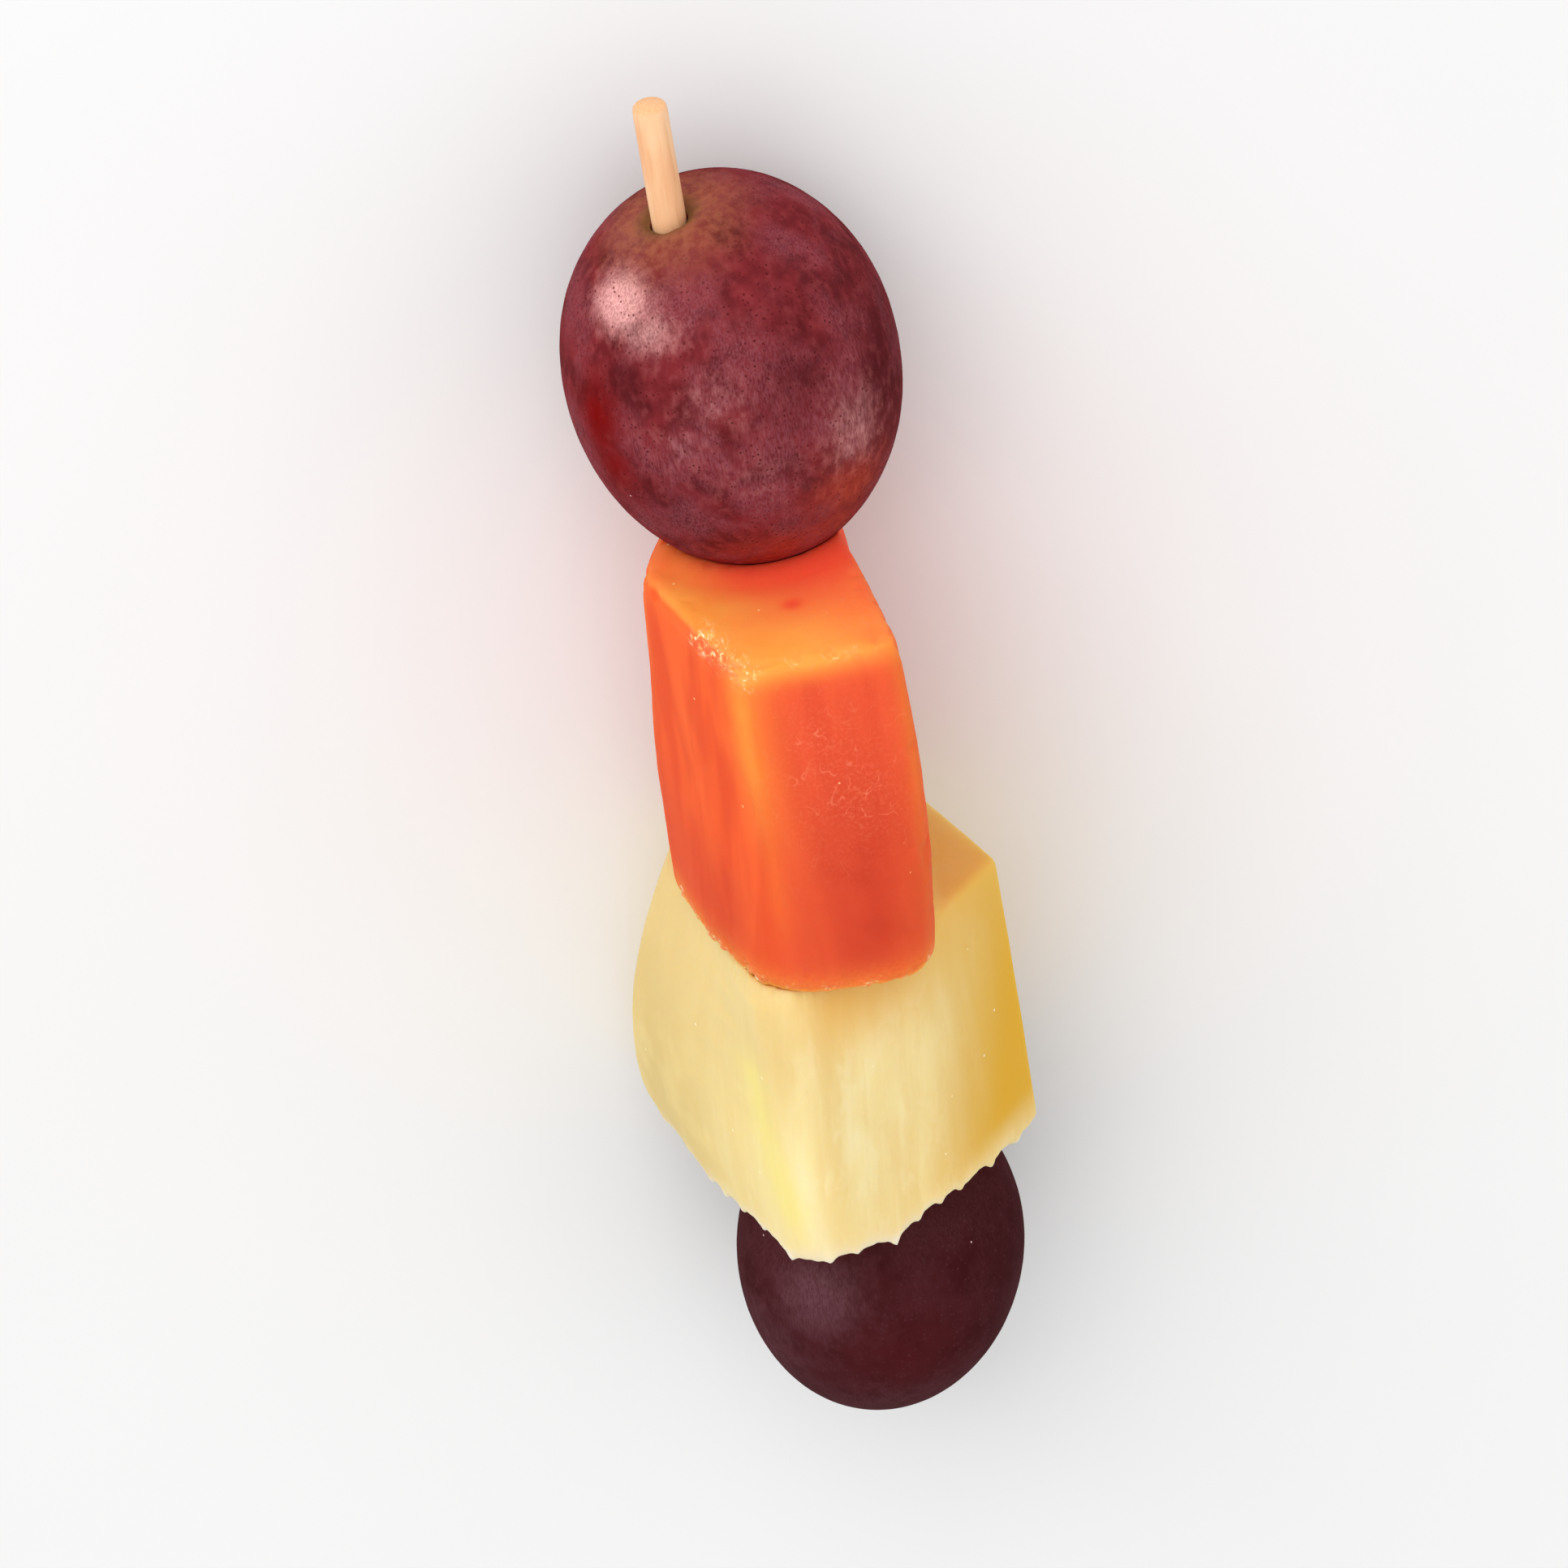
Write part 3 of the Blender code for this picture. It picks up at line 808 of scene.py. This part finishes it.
def pineapple_flesh():
    """Pale yellow flesh with lengthwise fibres and a pale rim.

    Painted into the colour: a highlight along the ridge, amber towards the thin right edge that is
    partly shade, shade under the papaya and at the far left, orange light from the papaya beside
    it, highlights on the rim's teeth and small sparkles.
    """
    r = Recipe("pineapple_flesh")
    lean = PINEAPPLE_FIBRE_LEAN
    broad = r.noise(3.4 * MM, detail=1.0, place=r.stretched((1.0, 9.0, 1.0), lean))
    fibre = r.noise(0.8 * MM, place=r.stretched((1.0, 16.0, 1.0), lean, shift=0.01))
    cloud = r.noise(6 * MM)
    patch_place = r.stretched((1.0, 2.2, 1.0), lean, shift=0.03)
    patch = r.noise(3.2 * MM, detail=3.0, roughness=0.6, warp=0.4, place=patch_place)

    flesh = r.mix(r.span(broad, 0.3, 0.7), colour(236, 210, 144), colour(243, 225, 165))
    flesh = r.paint(flesh, colour(248, 234, 188), r.span(fibre, 0.5, 0.75, 0.0, 0.22))
    flesh = r.paint(flesh, colour(226, 192, 120), r.span(fibre, 0.45, 0.25, 0.0, 0.18))
    flesh = r.paint(flesh, colour(246, 231, 182), r.span(patch, 0.5, 0.66, 0.0, 0.4))
    flesh = r.paint(flesh, colour(234, 202, 136), r.span(patch, 0.46, 0.32, 0.0, 0.35))
    flesh = r.paint(flesh, colour(236, 208, 134), r.mask("left_side"), 0.5)
    # painted shade: darker towards the far left
    left_share = r.span(cloud, 0.3, 0.6, 0.55, 1.0)
    flesh = r.paint(flesh, colour(216, 186, 119), r.mask("left_rim"), left_share)
    # painted shadow under the papaya, warmed by its orange
    flesh = r.paint(flesh, colour(235, 185, 92), r.mask("under_papaya"), 0.8)
    flesh = r.paint(flesh, colour(222, 192, 128), r.mask("upper_left"), 0.6)
    # painted orange light thrown from the papaya onto the flesh beside it
    flesh = r.paint(flesh, colour(248, 176, 72), r.mask("stain"), 0.8)
    # darker amber towards the thin right edge, partly painted shade
    flesh = r.paint(flesh, colour(221, 168, 56), r.mask("amber"))
    pale_share = r.span(cloud, 0.3, 0.6, 0.4, 0.9)
    flesh = r.paint(flesh, colour(238, 218, 186), r.mask("pale"), pale_share)
    lemon_share = r.span(broad, 0.25, 0.6, 0.35, 0.55)
    flesh = r.paint(flesh, colour(244, 228, 126), r.mask("lemon"), lemon_share)
    # painted highlight along the ridge
    flesh = r.paint(flesh, colour(246, 234, 192), r.mask("ridge_light"), 0.4)
    # painted highlight on the tips of the rim's teeth
    flesh = r.paint(flesh, colour(246, 230, 210), r.mask("tooth"), 0.6)
    # small white bits of flesh, and painted sparkles
    specks = r.dots(1.6 * MM, 0.13 * MM, kept=0.1)
    flesh = r.paint(flesh, colour(255, 246, 214), specks, 0.6)

    relief = r.sum(fibre, r.times(r.noise(0.4 * MM), 0.5))
    return r.finish(
        base_color=flesh,
        roughness=r.span(cloud, 0.3, 0.7, 0.38, 0.5),
        specular_ior_level=0.0,
        coat_weight=r.span(cloud, 0.3, 0.7, 0.06, 0.12),
        coat_roughness=0.3,
        subsurface_weight=0.6,
        subsurface_radius=(2.6, 1.8, 0.8),
        subsurface_scale=MM,
        normal=r.bump(relief, 0.04 * MM),
    )


def grape_skin(name, light, middle, dark, pore, dusty, bloom_colour, red, brown):
    """Mottled skin: fine specks, a dusty bloom with a painted sheen, red painted where light comes
    through, painted orange light from the papaya, darker skin with painted shade, cork at the stem,
    painted glints.
    """
    r = Recipe(name)
    cloud = r.noise(3.2 * MM, warp=0.4)
    mottle = r.noise(0.9 * MM, detail=3.0, roughness=0.6, place=r.stretched((1.0, 1.6, 1.0)))
    brush = r.noise(0.15 * MM, roughness=0.6, place=r.stretched((1.0, 6.0, 1.0)))
    haze_place = r.stretched((1.0, 1.2, 1.0), shift=0.03)
    haze = r.noise(4.5 * MM, detail=1.5, warp=0.3, place=haze_place)

    skin = r.mix(r.span(cloud, 0.26, 0.68), dark, middle)
    skin = r.paint(skin, light, r.span(mottle, 0.35, 0.7, 0.05, 0.5))
    # darker skin and painted shade, most on the right side
    skin = r.paint(skin, dark, r.mask("dark"), r.span(mottle, 0.3, 0.7, 1.0, 0.6))
    # painted orange light thrown up from the papaya
    skin = r.paint(skin, brown, r.mask("warm"), r.span(mottle, 0.3, 0.7, 0.5, 0.9))

    dustless = r.sum(r.mask("blush"), r.times(r.mask("dark"), 0.6))
    dusted = r.span(r.calculate("SUBTRACT", 1.0, dustless), 0.0, 1.0)
    dust_haze = r.span(haze, 0.38, 0.68, 0.0, 0.75)
    skin = r.paint(skin, dusty, dust_haze, r.span(brush, 0.4, 0.62, 0.25, 1.0), dusted)
    # painted light: red where light comes through the skin
    skin = r.paint(skin, red, r.mask("blush"), r.span(cloud, 0.2, 0.6, 0.75, 1.0))

    # bloom with a painted sheen of soft light on it
    uneven = r.sum(r.mask("bloom"), r.span(mottle, 0.25, 0.75, -0.12, 0.08))
    patches = r.times(r.span(uneven, 0.0, 0.95), r.span(brush, 0.35, 0.65, 0.55, 1.0))
    skin = r.paint(skin, bloom_colour, patches)
    pores = r.dots(0.46 * MM, 0.11 * MM, kept=0.7)
    skin = r.paint(skin, pore, pores, r.span(mottle, 0.35, 0.65, 0.2, 0.85))
    skin = r.paint(skin, colour(158, 92, 66), r.mask("stem"), r.span(mottle, 0.3, 0.65, 0.3, 0.9))
    skin = r.paint(skin, colour(118, 84, 50), r.mask("cork"), r.span(brush, 0.3, 0.6, 0.6, 1.0))
    glints = r.dots(3.0 * MM, 0.09 * MM, kept=0.3)
    skin = r.paint(skin, colour(232, 190, 190), glints, 0.8)

    return r.finish(
        base_color=skin,
        roughness=r.span(patches, 0.0, 0.8, 0.44, 0.6),
        specular_ior_level=0.0,
        coat_weight=r.span(patches, 0.0, 0.6, 0.04, 0.02),
        coat_roughness=0.25,
        normal=r.bump(r.sum(mottle, r.times(brush, 0.4)), 0.025 * MM),
    )


def bamboo():
    """Dry pale bamboo with fine lengthwise fibres and an open grain on its cut end."""
    r = Recipe("bamboo")
    fibre = r.noise(0.35 * MM, detail=3.0, roughness=0.6, place=r.stretched((1.0, 26.0, 1.0)))
    tone = r.noise(2.4 * MM, place=r.stretched((1.0, 4.0, 1.0)))
    pores = r.noise(0.22 * MM, roughness=0.6, place=r.stretched((1.0, 30.0, 1.0)))
    wood = r.mix(r.span(tone, 0.35, 0.65), colour(240, 180, 132), colour(249, 202, 156))
    wood = r.paint(wood, colour(222, 160, 106), r.span(fibre, 0.46, 0.28, 0.0, 0.45))
    wood = r.paint(wood, colour(252, 218, 176), r.span(fibre, 0.58, 0.75, 0.0, 0.5))
    end = r.mix(r.span(pores, 0.35, 0.65), colour(236, 176, 122), colour(244, 190, 140))
    wood = r.paint(wood, end, r.mask("cut_end"))
    return r.finish(
        base_color=wood,
        roughness=r.span(fibre, 0.3, 0.7, 0.62, 0.5),
        specular_ior_level=0.35,
        normal=r.bump(fibre, 0.05 * MM),
    )


def pale_floor():
    r = Recipe("pale_floor")
    mottle = r.noise(50 * MM)
    return r.finish(
        base_color=r.mix(mottle, colour(238, 238, 238), colour(241, 241, 241)),
        roughness=0.9,
        specular_ior_level=0.1,
    )


# ---------------------------------------------------------------- light and camera


def add_key_light():
    light = bpy.data.lights.new("key", "AREA")
    light.shape = "RECTANGLE"
    light.size, light.size_y = KEY_SIZE
    light.energy = KEY_POWER
    made = bpy.data.objects.new("key", light)
    bpy.context.scene.collection.objects.link(made)
    made.location = Vector(KEY_DIRECTION).normalized() * KEY_DISTANCE
    made.rotation_euler = Vector(KEY_DIRECTION).to_track_quat("Z", "Y").to_euler()


def add_surroundings():
    world = bpy.data.worlds.new("studio")
    bpy.context.scene.world = world
    world.use_nodes = True
    background = world.node_tree.nodes["Background"]
    background.inputs["Color"].default_value = (1, 1, 1, 1)
    background.inputs["Strength"].default_value = SURROUNDINGS
    bpy.context.scene.view_settings.view_transform = "Standard"


def add_floor():
    signs = ((-1, -1), (1, -1), (1, 1), (-1, 1))
    corners = [(x * FLOOR_REACH, y * FLOOR_REACH, 0) for x, y in signs]
    mesh = bpy.data.meshes.new("floor")
    mesh.from_pydata(corners, [], [(0, 1, 2, 3)])
    mesh.materials.append(pale_floor())
    floor = bpy.data.objects.new("floor", mesh)
    bpy.context.scene.collection.objects.link(floor)


def add_camera():
    """Looks down at the skewer from beyond its free end, with the stick leaning to the left."""
    back = Vector((0, math.sin(VIEW_SLOPE), math.cos(VIEW_SLOPE)))
    along = Vector((0, math.cos(VIEW_SLOPE), -math.sin(VIEW_SLOPE)))
    side = Vector((1, 0, 0))
    up = along * math.cos(VIEW_ROLL) + side * math.sin(VIEW_ROLL)
    right = up.cross(back)
    camera = bpy.data.objects.new("camera", bpy.data.cameras.new("camera"))
    bpy.context.scene.collection.objects.link(camera)
    camera.data.lens = VIEW_LENS
    camera.data.clip_start, camera.data.clip_end = VIEW_CLIP
    target = (cad_low + cad_high) / 2
    place = target + back * VIEW_DISTANCE
    turn = Matrix((right, up, back)).transposed().to_4x4()
    camera.matrix_world = Matrix.Translation(place) @ turn
    bpy.context.scene.camera = camera


add_camera()
add_surroundings()
add_key_light()
add_floor()

top_grape = make_grape(
    "grape_top",
    "grape_upper",
    seed=2.3,
    bloom=TOP_GRAPE_BLOOM,
    blush=TOP_GRAPE_BLUSH,
    warm=TOP_GRAPE_WARM,
    dark=TOP_GRAPE_DARK,
)
low_grape = make_grape(
    "grape_bottom",
    "grape_lower",
    seed=8.3,
    bloom=LOW_GRAPE_BLOOM,
    blush=LOW_GRAPE_BLUSH,
    warm=[],
    dark=LOW_GRAPE_DARK,
)
papaya = make_papaya(top_grape)
pineapple = make_pineapple(papaya, low_grape)

maroon_skin = grape_skin(
    "maroon_grape_skin",
    light=colour(143, 52, 56),
    middle=colour(122, 38, 43),
    dark=colour(80, 22, 26),
    pore=colour(76, 18, 22),
    dusty=colour(139, 70, 79),
    bloom_colour=colour(244, 178, 174),
    red=colour(122, 7, 7),
    brown=colour(168, 62, 42),
)
# a deep plum skin, painted darker still as shade from the pieces around it
plum_skin = grape_skin(
    "plum_grape_skin",
    light=colour(75, 33, 37),
    middle=colour(70, 27, 31),
    dark=colour(58, 18, 21),
    pore=colour(80, 40, 46),
    dusty=colour(80, 41, 46),
    bloom_colour=colour(102, 65, 72),
    red=colour(76, 22, 26),
    brown=colour(90, 40, 34),
)
add_piece("bamboo_stick", make_stick(), "stick", bamboo())
add_piece("grape_upper", top_grape, "grape_top", maroon_skin)
add_piece("grape_lower", low_grape, "grape_bottom", plum_skin)
add_piece("papaya_block", papaya, "papaya", papaya_flesh())
add_piece("pineapple_wedge", pineapple, "pineapple", pineapple_flesh())
